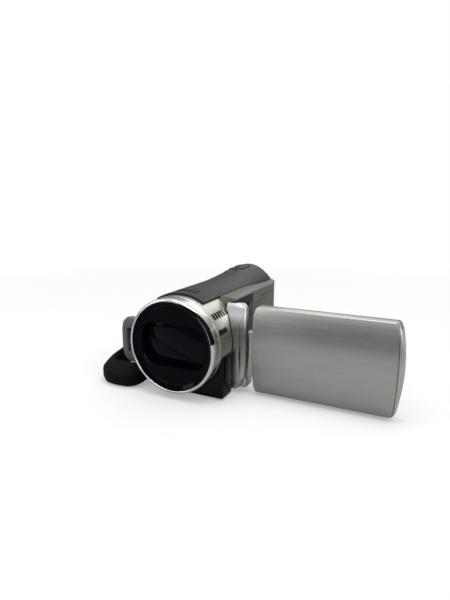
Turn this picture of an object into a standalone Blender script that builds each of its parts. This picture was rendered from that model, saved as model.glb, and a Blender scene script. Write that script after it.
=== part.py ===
"""A palm-sized memory-card camcorder, standing on its base with the screen door swung open.

Frame: X = 0 is the lens axis, Y = 0 is near the middle of the base, Z = 0 is the resting
plane. The lens looks along -Y and the screen door opens towards +X. Sizes are in millimetres,
and "depth" is the distance behind the lens ring's front face. at() turns them into metres.
"""

import math

import bmesh
import bpy
from mathutils import Matrix, Vector

MM = 0.001
FRONT_Y = -62.0  # front face of the lens ring
TRIPOD_DEPTH = 74.0
GAP = 0.3  # clearance between neighbouring pieces

# Lens
LENS_Z = 30.0
RING_RADIUS = 26.2
SLEEVE_RADIUS = 26.4
SLEEVE_DEPTH = (6.6, 30.0)
OPENING_RADIUS = 20.4
OPENING_HALF_HEIGHT = 12.2
SEAM_SLOPE = math.tan(math.radians(22.0))  # the line where the two shutter blades meet
SEAM_DROP = 3.8  # below the lens axis

# Casing
SHELL = 1.0
TOP_RADIUS = 27.6
SIDE_X = -29.0
BODY_DEPTH = (22.5, 112.0)
REAR_DEPTH = 116.0
SEAM_RIGHT = -16.0
SEAM_LEFT = 14.4
WALL_X = 20.0
LEDGE_X = 24.4
LEDGE_Z = 51.3
HUMP_HEIGHT = 3.4
HUMP_X = -5.0
HUMP_HALF_WIDTH = 14.5

# Screen door, swung open
DOOR_X = (38.0, 112.0)
DOOR_Z = (2.0, 50.5)
DOOR_EDGE_DEPTH = 26.0
DOOR_BULGE = 4.5
DOOR_BACK_DEPTH = 32.8
DOOR_END_BOW = 3.0
DOOR_MID_Z = sum(DOOR_Z) / 2
COVER_THICKNESS = 1.2
SWING_AXIS = (29.0, 29.5)  # x and depth
TWIST_DEPTH = 29.2
HINGE_Z = (10.0, 36.0)

MATERIALS = {
    "satin_silver": ((0.62, 0.61, 0.57), 0.35, 0.9),
    "brushed_aluminium": ((0.60, 0.61, 0.60), 0.32, 1.0),
    "titanium_grey": ((0.16, 0.17, 0.17), 0.38, 0.8),
    "champagne_silver": ((0.66, 0.63, 0.55), 0.30, 0.8),
    "chrome": ((0.80, 0.79, 0.74), 0.12, 1.0),
    "black_gloss": ((0.012, 0.012, 0.016), 0.12, 0.0),
    "black_plastic": ((0.03, 0.03, 0.032), 0.5, 0.0),
    "grey_plastic": ((0.20, 0.21, 0.21), 0.5, 0.0),
    "black_fabric": ((0.012, 0.012, 0.014), 0.85, 0.0),
    "lens_glass": ((0.05, 0.06, 0.09), 0.05, 0.0),
    "steel": ((0.45, 0.45, 0.45), 0.35, 1.0),
    "circuit_green": ((0.03, 0.16, 0.08), 0.5, 0.0),
    "screen_glass": ((0.01, 0.01, 0.012), 0.08, 0.0),
    "record_red": ((0.55, 0.03, 0.03), 0.35, 0.0),
}


# ---------------------------------------------------------------- small tools


def at(x, depth, z):
    return Vector((x, FRONT_Y + depth, z)) * MM


def clear_scene():
    for obj in list(bpy.data.objects):
        bpy.data.objects.remove(obj)


def make_collection(name):
    made = bpy.data.collections.new(name)
    bpy.context.scene.collection.children.link(made)
    return made


def material(name):
    found = bpy.data.materials.get(name)
    if found:
        return found
    colour, roughness, metallic = MATERIALS[name]
    made = bpy.data.materials.new(name)
    made.use_nodes = True
    shader = made.node_tree.nodes["Principled BSDF"]
    shader.inputs["Base Color"].default_value = (*colour, 1.0)
    shader.inputs["Roughness"].default_value = roughness
    shader.inputs["Metallic"].default_value = metallic
    return made


def place(name, bm, finish, centre=None):
    """Turns a bmesh into a named part, or into a hidden cutter when finish is None."""
    mesh = bpy.data.meshes.new(name)
    bm.to_mesh(mesh)
    bm.free()
    obj = bpy.data.objects.new(name, mesh)
    if centre is not None:
        obj.location = centre
    if finish is None:
        CUTTERS.objects.link(obj)
        obj.hide_render = True
        obj.display_type = "WIRE"
    else:
        PARTS.objects.link(obj)
        mesh.materials.append(material(finish))
        mesh.shade_smooth()
        mesh.set_sharp_from_angle(angle=math.radians(35))
    return obj


def box(name, finish, x, depth, z, bevel=0.0, segments=2):
    """A block between two x, two depths and two heights, with its edges rounded by bevel."""
    bm = bmesh.new()
    bmesh.ops.create_cube(bm, size=MM)
    size = Vector((x[1] - x[0], depth[1] - depth[0], z[1] - z[0]))
    bmesh.ops.scale(bm, vec=size, verts=bm.verts)
    centre = at(sum(x) / 2, sum(depth) / 2, sum(z) / 2)
    obj = place(name, bm, finish, centre)
    if bevel:
        rounding = obj.modifiers.new("edges", "BEVEL")
        rounding.width = bevel * MM
        rounding.segments = segments
    return obj


TURN_TO = {
    "x": Matrix.Rotation(math.radians(90), 4, "Y"),
    "depth": Matrix.Rotation(math.radians(-90), 4, "X"),
    "z": Matrix.Identity(4),
}


def cylinder(name, finish, radius, length, centre, axis, segments=24):
    bm = bmesh.new()
    bmesh.ops.create_cone(
        bm,
        cap_ends=True,
        segments=segments,
        radius1=radius * MM,
        radius2=radius * MM,
        depth=length * MM,
        matrix=TURN_TO[axis],
    )
    return place(name, bm, finish, at(*centre))


def turned(name, finish, profile, centre, axis="depth", steps=40, ring=True):
    """A lathe shape. profile lists (radius, distance along the axis), down the outer side first."""
    bm = bmesh.new()
    points = [bm.verts.new((r * MM, 0.0, h * MM)) for r, h in profile]
    for a, b in zip(points, points[1:] + (points[:1] if ring else [])):
        bm.edges.new((a, b))
    obj = place(name, bm, finish, at(*centre))
    obj.rotation_euler = TURN_TO[axis].to_euler()
    spin = obj.modifiers.new("spin", "SCREW")
    spin.steps = steps
    spin.render_steps = steps
    spin.use_merge_vertices = True
    spin.merge_threshold = 0.00001
    return obj


def loft(name, finish, sections, closed=True, thickness=0.0):
    """Skins sections of equal point counts. An open one becomes a sheet with an inward thickness."""
    bm = bmesh.new()
    rows = [[bm.verts.new(p) for p in section] for section in sections]
    count = len(rows[0])
    for row, following in zip(rows, rows[1:]):
        for j in range(count if closed else count - 1):
            k = (j + 1) % count
            bm.faces.new((row[j], following[j], following[k], row[k]))
    if closed:
        bm.faces.new(rows[0])
        bm.faces.new(list(reversed(rows[-1])))
        bmesh.ops.recalc_face_normals(bm, faces=bm.faces)
    obj = place(name, bm, finish)
    if thickness:
        sheet = obj.modifiers.new("sheet", "SOLIDIFY")
        sheet.thickness = thickness * MM
        sheet.offset = -1.0
        sheet.use_even_offset = True
    return obj


def cut(obj, *cutters, operation="DIFFERENCE"):
    for cutter in cutters:
        boolean = obj.modifiers.new("cut", "BOOLEAN")
        boolean.operation = operation
        boolean.object = cutter
    return obj


def sweep(centre, spread, steps):
    """Values either side of centre, evenly spaced."""
    return [centre - spread + 2 * spread * i / (steps - 1) for i in range(steps)]


# ---------------------------------------------------------------- casing surfaces


def smooth(value):
    value = max(0.0, min(1.0, value))
    return value * value * (3 - 2 * value)


def hump(depth):
    """How far the roof has risen towards the rear, from 0 to 1."""
    return smooth((depth - 58.0) / 46.0)


def tuck(depth):
    """How far the door side has turned in towards the rear corner."""
    return 2.6 * (max(0.0, depth - 102.0) / 10.0) ** 2


def roof_z(x, depth):
    """Height of the roof: round about the lens in front, with a thumb hump towards the rear."""
    reach = TOP_RADIUS if x > 0 else -SIDE_X
    dome = LENS_Z + TOP_RADIUS * math.sqrt(max(0.0, 1 - (x / reach) ** 2))
    rise = 1 - ((x - HUMP_X) / HUMP_HALF_WIDTH) ** 2
    return dome + HUMP_HEIGHT * hump(depth) * max(-0.8, rise)


def shrink(points, depth):
    """Rounds the rear end: the outline draws in over its last few millimetres."""
    past = max(0.0, depth - (REAR_DEPTH - 4.0)) / 4.0
    factor = 1 - 0.075 * (1 - math.sqrt(max(0.0, 1 - past * past)))
    return [at(-4 + (x + 4) * factor, depth, 28 + (z - 28) * factor) for x, z in points]


def roof_outline(depth, inset=0.0):
    xs = [SEAM_LEFT - (SEAM_LEFT - SEAM_RIGHT) * i / 10 for i in range(11)]
    return [(x, roof_z(x, depth) - inset) for x in xs]


def right_outline(depth):
    """Hand side, from the roof seam round to the base seam. In front it closes in on the sleeve."""
    start = math.asin((SEAM_RIGHT - GAP) / SIDE_X)
    full = []
    for i in range(8):
        turn = start + (math.pi / 2 - start) * i / 7
        x = SIDE_X * math.sin(turn)
        full.append((x, roof_z(x, depth) if i < 7 else LENS_Z))
    full += [(SIDE_X, 21.0), (SIDE_X, 13.0)]
    for i in range(1, 6):
        turn = math.pi / 2 * i / 5
        full.append((SIDE_X + 11 * (1 - math.cos(turn)), 12 - 12 * math.sin(turn)))
    full.append((SEAM_RIGHT - GAP, 0.0))
    first, last = math.radians(36), math.radians(147)
    snug = SLEEVE_RADIUS + GAP + SHELL
    share = smooth((depth - BODY_DEPTH[0]) / 12.0)
    blended = []
    for i, (x, z) in enumerate(full):
        turn = first + (last - first) * i / (len(full) - 1)
        round_x, round_z = -snug * math.sin(turn), LENS_Z + snug * math.cos(turn)
        blended.append((round_x + (x - round_x) * share, round_z + (z - round_z) * share))
    return blended


def left_outline(depth):
    """Door side, from the base seam up the recessed wall, round the ledge and in to the roof seam."""
    drop = roof_z(SEAM_LEFT + GAP, 40.0) - roof_z(SEAM_LEFT + GAP, depth)
    wall = WALL_X - tuck(depth)
    out = LEDGE_X - 4.0 * hump(depth) - tuck(depth)
    start = SEAM_LEFT + GAP
    return [
        (start, 0.0),
        (wall - 2.4, 0.0),
        (wall - 0.8, 1.0),
        (wall, 3.2),
        (wall, 27.0),
        (wall, LEDGE_Z - drop),
        (out - 0.4, LEDGE_Z + 0.2 - drop),
        (out, LEDGE_Z + 0.8 - drop),
        (out - 0.9, LEDGE_Z + 1.6 - drop),
        (wall - 1.0, roof_z(start, depth) - 0.15),
        (start, roof_z(start, depth)),
    ]


def stations(first, last):
    inner = [24.0, 30.0, 38.0, 50.0, 60.0, 68.0, 76.0, 84.0, 92.0, 98.0, 102.0, 105.5, 109.0]
    return [first] + [d for d in inner if first + 1 < d < last - 1] + [last]


def make_casing():
    first, last = BODY_DEPTH
    roof_front = 12.6
    loft(
        "top_cover",
        "titanium_grey",
        [[at(x, d, z) for x, z in roof_outline(d)] for d in stations(roof_front, last)],
        closed=False,
        thickness=0.8,
    )
    loft(
        "right_shell",
        "satin_silver",
        [[at(x, d, z) for x, z in right_outline(d)] for d in stations(first, last)],
        closed=False,
        thickness=SHELL,
    )
    loft(
        "left_shell",
        "satin_silver",
        [[at(x, d, z) for x, z in left_outline(d)] for d in stations(31.0, last)],
        closed=False,
        thickness=SHELL,
    )
    make_front_lower_cover()
    make_base()
    make_rear_panel()


def make_front_lower_cover():
    cover = box(
        "front_lower_cover", "black_gloss", (-15.0, 26.3), (10.2, 22.2), (0.8, 25.6), bevel=1.2
    )
    sill = box("sill_tool", None, (14.8, 19.6), (21.0, 30.4), (0.8, 6.0))
    bore = cylinder(
        "sleeve_room_tool", None, SLEEVE_RADIUS + GAP, 40.0, (0, 20.0, LENS_Z), "depth", 64
    )
    cut(cover, sill, operation="UNION")
    cut(cover, bore)


BASE_SCREWS = [(-11.0, 38.0), (9.5, 38.0), (-11.0, 99.5), (9.5, 99.5)]
LATCH_SLOT = ((-6.0, 6.0), (89.0, 95.0))


def make_base():
    plate = box("base_plate", "black_plastic", (-15.9, 14.3), (22.8, 111.8), (0.0, 1.6))
    tools = [cylinder("bush_room_tool", None, 6.0, 6.0, (0, TRIPOD_DEPTH, 0.5), "z", 32)]
    for i, (x, depth) in enumerate(BASE_SCREWS, 1):
        tools.append(cylinder(f"screw_room_tool_{i}", None, 2.0, 6.0, (x, depth, 1.0), "z", 16))
        make_screw(f"base_screw_{i}", x, depth)
    tools.append(box("latch_room_tool", None, *LATCH_SLOT, (-1.0, 3.0)))
    cut(plate, *tools)
    turned(
        "tripod_bush",
        "steel",
        [(0.0, 7.0), (5.6, 7.0), (5.6, 0.2), (3.1, 0.2), (3.1, 5.8), (0.0, 5.8)],
        (0, TRIPOD_DEPTH, 0),
        "z",
        32,
        ring=False,
    )


def make_screw(name, x, depth):
    """A pan-head screw seen from below: head in the base plate's counterbore, shank up into it."""
    turned(
        name,
        "steel",
        [(0.0, 6.0), (0.9, 6.0), (0.9, 1.6), (1.7, 1.6), (1.7, 0.4), (0.0, 0.4)],
        (x, depth, 0),
        "z",
        16,
        ring=False,
    )


def rear_outline(depth):
    """The whole body section: roof, hand side, base and door side as one loop."""
    loop = roof_outline(depth) + right_outline(depth) + left_outline(depth)[1:]
    return shrink(loop, depth)


BATTERY = ((-24.0, 8.0), (103.0, 131.0), (4.0, 39.0))
DIAL_CENTRE = (-12.0, 49.0)


def make_rear_panel():
    depths = [112.3, 113.6, 114.8, 115.5, REAR_DEPTH]
    panel = loft("rear_panel", "satin_silver", [rear_outline(d) for d in depths])
    x, _, z = BATTERY
    bay = box(
        "battery_room_tool",
        None,
        (x[0] - 0.4, x[1] + 0.4),
        (106.0, 126.0),
        (z[0] - 0.4, z[1] + 0.4),
    )
    shaft = cylinder("dial_room_tool", None, 3.9, 20.0, (DIAL_CENTRE[0], 114, DIAL_CENTRE[1]), "depth")
    lamp = cylinder("lamp_room_tool", None, 1.3, 6.0, (2.0, 115.5, 52.5), "depth", 16)
    cut(panel, bay, shaft, lamp)
    cylinder("record_lamp", "record_red", 1.0, 2.2, (2.0, 115.2, 52.5), "depth", 16)


# ---------------------------------------------------------------- lens


def make_lens_ring():
    turned(
        "lens_ring",
        "chrome",
        [
            (RING_RADIUS, 6.3),
            (RING_RADIUS, 5.4),
            (25.8, 2.0),
            (25.3, 0.5),
            (24.8, 0.0),
            (24.3, 0.0),
            (24.1, 1.0),
            (24.1, 6.3),
        ],
        (0, 0, LENS_Z),
        steps=56,
    )
    sleeve = turned(
        "barrel_sleeve",
        "champagne_silver",
        [
            (SLEEVE_RADIUS, SLEEVE_DEPTH[1]),
            (SLEEVE_RADIUS, SLEEVE_DEPTH[0]),
            (25.0, SLEEVE_DEPTH[0]),
            (25.0, SLEEVE_DEPTH[1]),
        ],
        (0, 0, LENS_Z),
        steps=56,
    )
    hinge_room = box("hinge_room_tool", None, (20.0, 40.0), (25.9, 40.0), (4.0, 42.0))
    cut(sleeve, hinge_room)


def make_front_bezel():
    bezel = cylinder("front_bezel", "black_gloss", 23.7, 3.7, (0, 3.25, LENS_Z), "depth", 56)
    window = cylinder("opening_tool", None, OPENING_RADIUS, 8.0, (0, 4.0, LENS_Z), "depth", 56)
    band = box(
        "opening_band_tool",
        None,
        (-30.0, 30.0),
        (-2.0, 10.0),
        (LENS_Z - OPENING_HALF_HEIGHT, LENS_Z + OPENING_HALF_HEIGHT),
    )
    cut(window, band, operation="INTERSECT")
    cut(bezel, window)


SHUTTER_DEPTH = 6.1
SHUTTER_THICKNESS = 0.7
SHUTTER_HALF_WIDTH = (19.6, 20.3)  # at the pivot and at the seam
SHUTTER_PIVOT = 13.0  # above and below the lens axis


def make_shutters():
    """Two blades, each pivoting on its outer edge, that meet on a slanting line."""
    for name, side in (("upper_shutter_blade", 1), ("lower_shutter_blade", -1)):
        root, tip = SHUTTER_HALF_WIDTH
        seam = 0.15 * side - SEAM_DROP
        outline = [
            (-tip, seam + tip * SEAM_SLOPE),
            (tip, seam - tip * SEAM_SLOPE),
            (root, side * SHUTTER_PIVOT),
            (-root, side * SHUTTER_PIVOT),
        ]
        depths = (
            SHUTTER_DEPTH - SHUTTER_THICKNESS / 2,
            SHUTTER_DEPTH + SHUTTER_THICKNESS / 2,
        )
        loft(name, "black_gloss", [[at(x, d, LENS_Z + z) for x, z in outline] for d in depths])


def lens_profile(radius, front, back, sag_front, sag_back):
    """A round lens element: rear surface, rim and front surface, as a profile from axis to axis."""
    rear = [(radius * i / 4, back + sag_back * (1 - (i / 4) ** 2)) for i in range(5)]
    face = [(radius * i / 4, front - sag_front * (1 - (i / 4) ** 2)) for i in range(4, -1, -1)]
    return rear + face


TUBE_DEPTH = (33.6, 66.0)


def make_optics():
    turned(
        "lens_mount_plate",
        "steel",
        [(24.6, 33.2), (24.6, 31.4), (15.9, 31.4), (15.9, 33.2)],
        (0, 0, LENS_Z),
        steps=40,
    )
    trim = box("mount_trim_tool", None, (17.6, 40.0), (28.0, 36.0), (0.0, 60.0))
    low_trim = box("mount_low_trim_tool", None, (-40.0, 40.0), (28.0, 36.0), (0.0, 7.2))
    cut(bpy.data.objects["lens_mount_plate"], trim, low_trim)
    turned(
        "lens_tube",
        "black_plastic",
        [(17.2, TUBE_DEPTH[1]), (17.2, TUBE_DEPTH[0]), (15.6, TUBE_DEPTH[0]), (15.6, TUBE_DEPTH[1])],
        (0, 0, LENS_Z),
        steps=32,
    )
    turned(
        "front_lens_cell",
        "black_plastic",
        [(15.4, 37.4), (15.4, 28.2), (14.0, 28.2), (14.0, 36.0), (12.5, 36.0), (12.5, 37.4)],
        (0, 0, LENS_Z),
        steps=32,
    )
    turned(
        "front_lens",
        "lens_glass",
        lens_profile(13.6, 29.4, 32.0, 3.0, 0.6),
        (0, 0, LENS_Z),
        steps=32,
        ring=False,
    )
    for side, name in ((-1, "lens_guide_rod_left"), (1, "lens_guide_rod_right")):
        cylinder(name, "steel", 0.8, 27.0, (side * 12.6, 52.0, LENS_Z), "depth", 12)
    make_lens_group("zoom", 14.6, 10.2, 40.0, 5.0)
    make_lens_group("focus", 14.6, 8.6, 56.0, 4.0)
    box("sensor_block", "black_plastic", (-9.0, 9.0), (66.6, 82.0), (22.0, 38.0), bevel=0.6)


def make_lens_group(name, holder_radius, glass_radius, depth, length):
    """A moving lens cell: an annular holder on the two guide rods, with one glass element."""
    holder = turned(
        f"{name}_lens_holder",
        "black_plastic",
        [
            (holder_radius, length),
            (holder_radius, 0.0),
            (glass_radius + GAP, 0.0),
            (glass_radius + GAP, length),
        ],
        (0, depth, LENS_Z),
        steps=32,
    )
    for side in (-1, 1):
        hole = cylinder(
            f"{name}_rod_tool_{side}", None, 1.15, 40.0, (side * 12.6, 52.0, LENS_Z), "depth", 12
        )
        cut(holder, hole)
    turned(
        f"{name}_lens",
        "lens_glass",
        lens_profile(glass_radius, 1.2, length - 1.2, 1.0, 1.0),
        (0, depth, LENS_Z),
        steps=28,
        ring=False,
    )


# ---------------------------------------------------------------- hinge and screen door


def bulge(z):
    """1 at the door's middle height, 0 at its top and bottom edges."""
    half = (DOOR_Z[1] - DOOR_Z[0]) / 2
    return max(0.0, 1 - ((z - DOOR_MID_Z) / half) ** 2)


def door_heights():
    """Heights across the door, closer together near its top and bottom edges."""
    half = (DOOR_Z[1] - DOOR_Z[0]) / 2
    return [DOOR_MID_Z - half * math.cos(math.pi * i / 12) for i in range(13)]


def make_hinge_column():
    """The fixed front pillar of the door side: one convex face that leans back at the top."""
    heights = [2.6, 3.1, 4.6, 7.2, 12, 19, 26, 33, 38, 41.8, 42.0, 44, 46.4, 48.6, 50, 50.6]
    sections = []
    for z in heights:
        lean = 6.4 * smooth((z - 36.0) / 17.0)
        front = 22.6 + lean
        back = 33.0 if z > 41.9 else 25.9
        reach = 34.6 - 3.0 * (1 - bulge(z))
        corner = 3.0 * max(0.0, (7.2 - z) / 4.6) ** 2 + 2.4 * max(0.0, (z - 48.0) / 2.6) ** 2
        reach -= corner
        front += 0.3 * corner
        sections.append(
            [
                at(WALL_X + GAP, front + 0.6, z),
                at(reach - 7.0, front, z),
                at(reach - 3.2, min(front + 0.8, back - 0.7), z),
                at(reach - 1.0, min(front + 2.0, back - 0.4), z),
                at(reach, back, z),
                at(WALL_X + GAP, back, z),
            ]
        )
    column = loft("hinge_column", "brushed_aluminium", sections)
    bore = cylinder(
        "column_room_tool", None, SLEEVE_RADIUS + 0.4, 20.6, (0, 20.3, LENS_Z), "depth", 64
    )
    cut(column, bore)


def make_hinge():
    x, depth = SWING_AXIS
    low, high = HINGE_Z
    bracket = box(
        "hinge_bracket", "black_plastic", (20.4, 32.4), (26.3, 33.4), (3.6, 41.6), bevel=0.5
    )
    room = box("knuckle_room_tool", None, (23.9, 60.0), (20.0, 60.0), (low - 0.4, high + 0.4))
    bore = cylinder("bracket_bore_tool", None, 1.75, 60.0, (x, depth, 25.0), "z", 24)
    sleeve = cylinder(
        "bracket_sleeve_tool", None, SLEEVE_RADIUS + 0.4, 20.6, (0, 20.3, LENS_Z), "depth", 64
    )
    cut(bracket, room, bore, sleeve)
    cylinder("hinge_pin", "steel", 1.4, 36.6, (x, depth, 22.6), "z", 24)

    block = box("hinge_block", "satin_silver", (x, 37.6), (26.4, 32.0), (low, high), bevel=0.4)
    knuckle = cylinder("knuckle_tool", None, 3.1, high - low, (x, depth, (low + high) / 2), "z", 32)
    cut(block, knuckle, operation="UNION")
    pin_bore = cylinder("block_bore_tool", None, 1.75, 60.0, (x, depth, 25.0), "z", 24)
    shaft_bore = cylinder(
        "block_shaft_tool", None, 2.1, 6.0, (36.0, TWIST_DEPTH, DOOR_MID_Z), "x", 24
    )
    cut(block, pin_bore, shaft_bore)
    cylinder("twist_shaft", "steel", 1.8, 10.4, (38.8, TWIST_DEPTH, DOOR_MID_Z), "x", 24)


def door_surface(z):
    return DOOR_EDGE_DEPTH - DOOR_BULGE * bulge(z)


def door_end(z, bow):
    """The far end of the door is bowed outwards, and its corners are drawn in a little."""
    half = (DOOR_Z[1] - DOOR_Z[0]) / 2
    corner = max(0.0, abs(z - DOOR_MID_Z) / half - 0.9) / 0.1
    return DOOR_X[1] + bow * bulge(z) - 1.4 * corner * corner


def door_start(z):
    half = (DOOR_Z[1] - DOOR_Z[0]) / 2
    corner = max(0.0, abs(z - DOOR_MID_Z) / half - 0.9) / 0.1
    return DOOR_X[0] + 1.2 * corner * corner


def make_door():
    cover, frame = [], []
    for z in door_heights():
        start, outer = door_start(z), door_surface(z)
        seam, end = door_end(z, 1.4) - 0.9, door_end(z, DOOR_END_BOW)
        inner = outer + COVER_THICKNESS
        cover.append([at(start, outer, z), at(seam, outer, z), at(seam, inner, z), at(start, inner, z)])
        frame.append(
            [
                at(start, inner + GAP, z),
                at(seam + GAP, inner + GAP, z),
                at(seam + GAP, outer + 0.2, z),
                at(end, outer + 1.2, z),
                at(end, DOOR_BACK_DEPTH, z),
                at(start, DOOR_BACK_DEPTH, z),
            ]
        )
    loft("door_cover", "brushed_aluminium", cover)
    frame = loft("door_frame", "champagne_silver", frame)
    pocket = box("display_room_tool", None, (49.2, 110.4), (28.4, 40.0), (8.3, 44.2))
    bore = cylinder("door_bore_tool", None, 2.2, 10.0, (40.0, TWIST_DEPTH, DOOR_MID_Z), "x", 24)
    cut(frame, pocket, bore)
    box("display_panel", "grey_plastic", (49.6, 110.0), (28.8, 31.2), (8.7, 43.8))
    box("display_window", "screen_glass", (49.6, 110.0), (31.5, 32.6), (8.7, 43.8))
    for name, z, finish in DOOR_BUTTONS:
        hole = box(f"{name}_tool", None, (41.2, 46.8), (31.2, 40.0), (z - 2.8, z + 2.8))
        cut(frame, hole)
        box(name, finish, (41.6, 46.4), (31.9, 33.3), (z - 2.4, z + 2.4), bevel=0.4)


DOOR_BUTTONS = [
    ("door_record_button", 38.5, "record_red"),
    ("door_zoom_in_button", 15.6, "grey_plastic"),
    ("door_zoom_out_button", 8.6, "grey_plastic"),
]


# ---------------------------------------------------------------- controls


def make_rear_controls():
    x, z = DIAL_CENTRE
    turned(
        "mode_dial",
        "grey_plastic",
        [(7.4, 120.0), (7.8, 119.4), (7.8, 116.5), (5.4, 116.5), (5.4, 120.0)],
        (x, 0, z),
        steps=36,
    )
    turned(
        "record_button",
        "record_red",
        [
            (0.0, 119.8),
            (3.2, 119.8),
            (4.9, 119.2),
            (4.9, 117.6),
            (3.4, 117.6),
            (3.4, 114.0),
            (0.0, 114.0),
        ],
        (x, 0, z),
        steps=28,
        ring=False,
    )
    bx, bd, bz = BATTERY
    box("battery_pack", "black_plastic", bx, bd, bz, bevel=1.6, segments=3)
    box("battery_latch", "grey_plastic", (-3.6, 3.6), (89.6, 94.4), (0.3, 2.6), bevel=0.3)


ROCKER_DEPTH = (91.0, 104.0)
ROCKER_HALF_WIDTH = 5.5
ZOOM_LEVER_AXIS = (-4.0, 97.5, 58.4)
SHUTTER_BUTTON = (-4.0, 83.0)
SHUTTER_BUTTON_TOP = 59.7


def make_zoom_lever():
    """A rocker that follows the roof, dished for a fingertip and raised at its front and rear."""
    x, middle, _ = ZOOM_LEVER_AXIS
    half_length = (ROCKER_DEPTH[1] - ROCKER_DEPTH[0]) / 2
    across = sweep(x, ROCKER_HALF_WIDTH, 7)
    sections = []
    for depth in sweep(middle, half_length, 9):
        share = (depth - middle) / half_length
        lift = 0.2 + 0.9 * share * share - 0.6 * share**8
        top = [at(a, depth, roof_z(a, depth) + lift) for a in across]
        under = [at(a, depth, roof_z(a, depth) - 2.6) for a in reversed(across)]
        sections.append(top + under)
    lever = loft("zoom_lever", "grey_plastic", sections)
    rounding = lever.modifiers.new("edges", "BEVEL")
    rounding.width = 0.4 * MM
    rounding.segments = 2
    rounding.limit_method = "ANGLE"
    rounding.angle_limit = math.radians(50)


def make_top_controls():
    x, middle, _ = ZOOM_LEVER_AXIS
    room = box(
        "rocker_room_tool",
        None,
        (x - ROCKER_HALF_WIDTH - 0.5, x + ROCKER_HALF_WIDTH + 0.5),
        (ROCKER_DEPTH[0] - 0.6, ROCKER_DEPTH[1] + 0.6),
        (50.0, 70.0),
        bevel=0.8,
    )
    x, depth = SHUTTER_BUTTON
    well = cylinder("photo_room_tool", None, 4.4, 20.0, (x, depth, 60.0), "z", 28)
    cut(bpy.data.objects["top_cover"], room, well)
    make_zoom_lever()
    top = SHUTTER_BUTTON_TOP
    turned(
        "photo_button",
        "chrome",
        [(0.0, top), (3.0, top - 0.2), (4.0, top - 0.8), (4.0, top - 3.8), (0.0, top - 3.8)],
        (x, depth, 0),
        "z",
        28,
        ring=False,
    )
    make_microphone_grille()


def make_microphone_grille():
    across = sweep(0.0, 6.4, 7)
    sections = []
    for depth in (17.6, 22.4):
        top = [at(x, depth, roof_z(x, depth) + 0.35) for x in across]
        under = [at(x, depth, roof_z(x, depth) + 0.05) for x in reversed(across)]
        sections.append(top + under)
    loft("microphone_grille", "black_plastic", sections)


WALL_BUTTONS = [("power_button", 50.0), ("auto_button", 60.0)]
CARD_DOOR = ((58.0, 88.0), (6.0, 17.0))
TERMINAL_DOOR = ((80.0, 101.0), (22.0, 45.0))


def make_wall_parts():
    left = bpy.data.objects["left_shell"]
    face = WALL_X
    for name, depth in WALL_BUTTONS:
        well = cylinder(f"{name}_tool", None, 3.0, 8.0, (face, depth, 42.0), "x", 24)
        cut(left, well)
        cylinder(name, "chrome", 2.6, 2.6, (face - 0.4, depth, 42.0), "x", 24)
    for name, (depths, heights) in (("card_door", CARD_DOOR), ("terminal_door", TERMINAL_DOOR)):
        room = box(
            f"{name}_tool",
            None,
            (face - 4.0, face + 4.0),
            (depths[0] - 0.35, depths[1] + 0.35),
            (heights[0] - 0.35, heights[1] + 0.35),
        )
        cut(left, room)
        box(name, "satin_silver", (face - 1.1, face + 0.1), depths, heights, bevel=0.25, segments=1)
    grille = [
        cylinder(f"speaker_hole_tool_{i}_{j}", None, 0.7, 8.0, (face, 69.0 + 3 * i, 36.0 + 3 * j), "x", 8)
        for i in range(4)
        for j in range(3)
    ]
    cut(left, *grille)
    cylinder("speaker", "black_plastic", 6.2, 3.4, (16.4, 73.5, 39.0), "x", 24)
    box("memory_card", "black_plastic", (-5.4, 18.4), (61.0, 85.0), (10.6, 12.7))
    box("socket_block", "black_plastic", (14.6, 18.4), (82.0, 99.0), (24.0, 43.0), bevel=0.3, segments=1)


# ---------------------------------------------------------------- inside and hand strap


def make_inside():
    deck = box("chassis", "steel", (-24.0, 12.0), (40.0, 100.0), (7.2, 8.4))
    upright = box("chassis_upright_tool", None, (-24.0, -22.8), (40.0, 100.0), (7.2, 40.0))
    cut(deck, upright, operation="UNION")
    box("main_board", "circuit_green", (-21.6, -20.4), (42.0, 98.0), (10.0, 44.0))


STRAP_BRACKETS = {
    "front_strap_bracket": (-40.8, (11.0, 15.0), (12.6, 40.2)),
    "rear_strap_bracket": (-39.0, (102.0, 106.0), (13.6, 40.0)),
}
BRACKET_FOOT_X = (-31.2, -29.3)


def make_strap_brackets():
    """Each bracket is a rounded loop that stands out from the hand side, on a foot along the casing."""
    for name, (x, depth, (low, high)) in STRAP_BRACKETS.items():
        root = BRACKET_FOOT_X[1]
        outline = [(root, low + 2.0), (root - 3.6, low), (x + 4.4, low + 0.4), (x + 1.2, low + 3.2)]
        outline += [(x, low + 8.0), (x, high - 7.6), (x + 1.0, high - 3.2), (x + 3.6, high - 0.6)]
        outline += [(x + 7.0, high), (root, high - 1.6)]
        loop = loft(name, "grey_plastic", [[at(a, d, b) for a, b in outline] for d in depth])
        rounding = loop.modifiers.new("edges", "BEVEL")
        rounding.width = 0.9 * MM
        rounding.segments = 2
        rounding.limit_method = "ANGLE"
        rounding.angle_limit = math.radians(60)
        front = name.startswith("front")
        foot_depth = (11.4, 33.0) if front else (90.0, 105.6)
        foot = box(f"{name}_foot_tool", None, BRACKET_FOOT_X, foot_depth, (18.0, 35.0))
        slot = box(
            f"{name}_slot_tool",
            None,
            (x + 3.8, BRACKET_FOOT_X[0] - 1.4),
            (depth[0] - 4, depth[1] + 4),
            (low + 6.0, high - 6.6),
            bevel=1.2,
        )
        cut(loop, foot, operation="UNION")
        cut(loop, slot)


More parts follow.
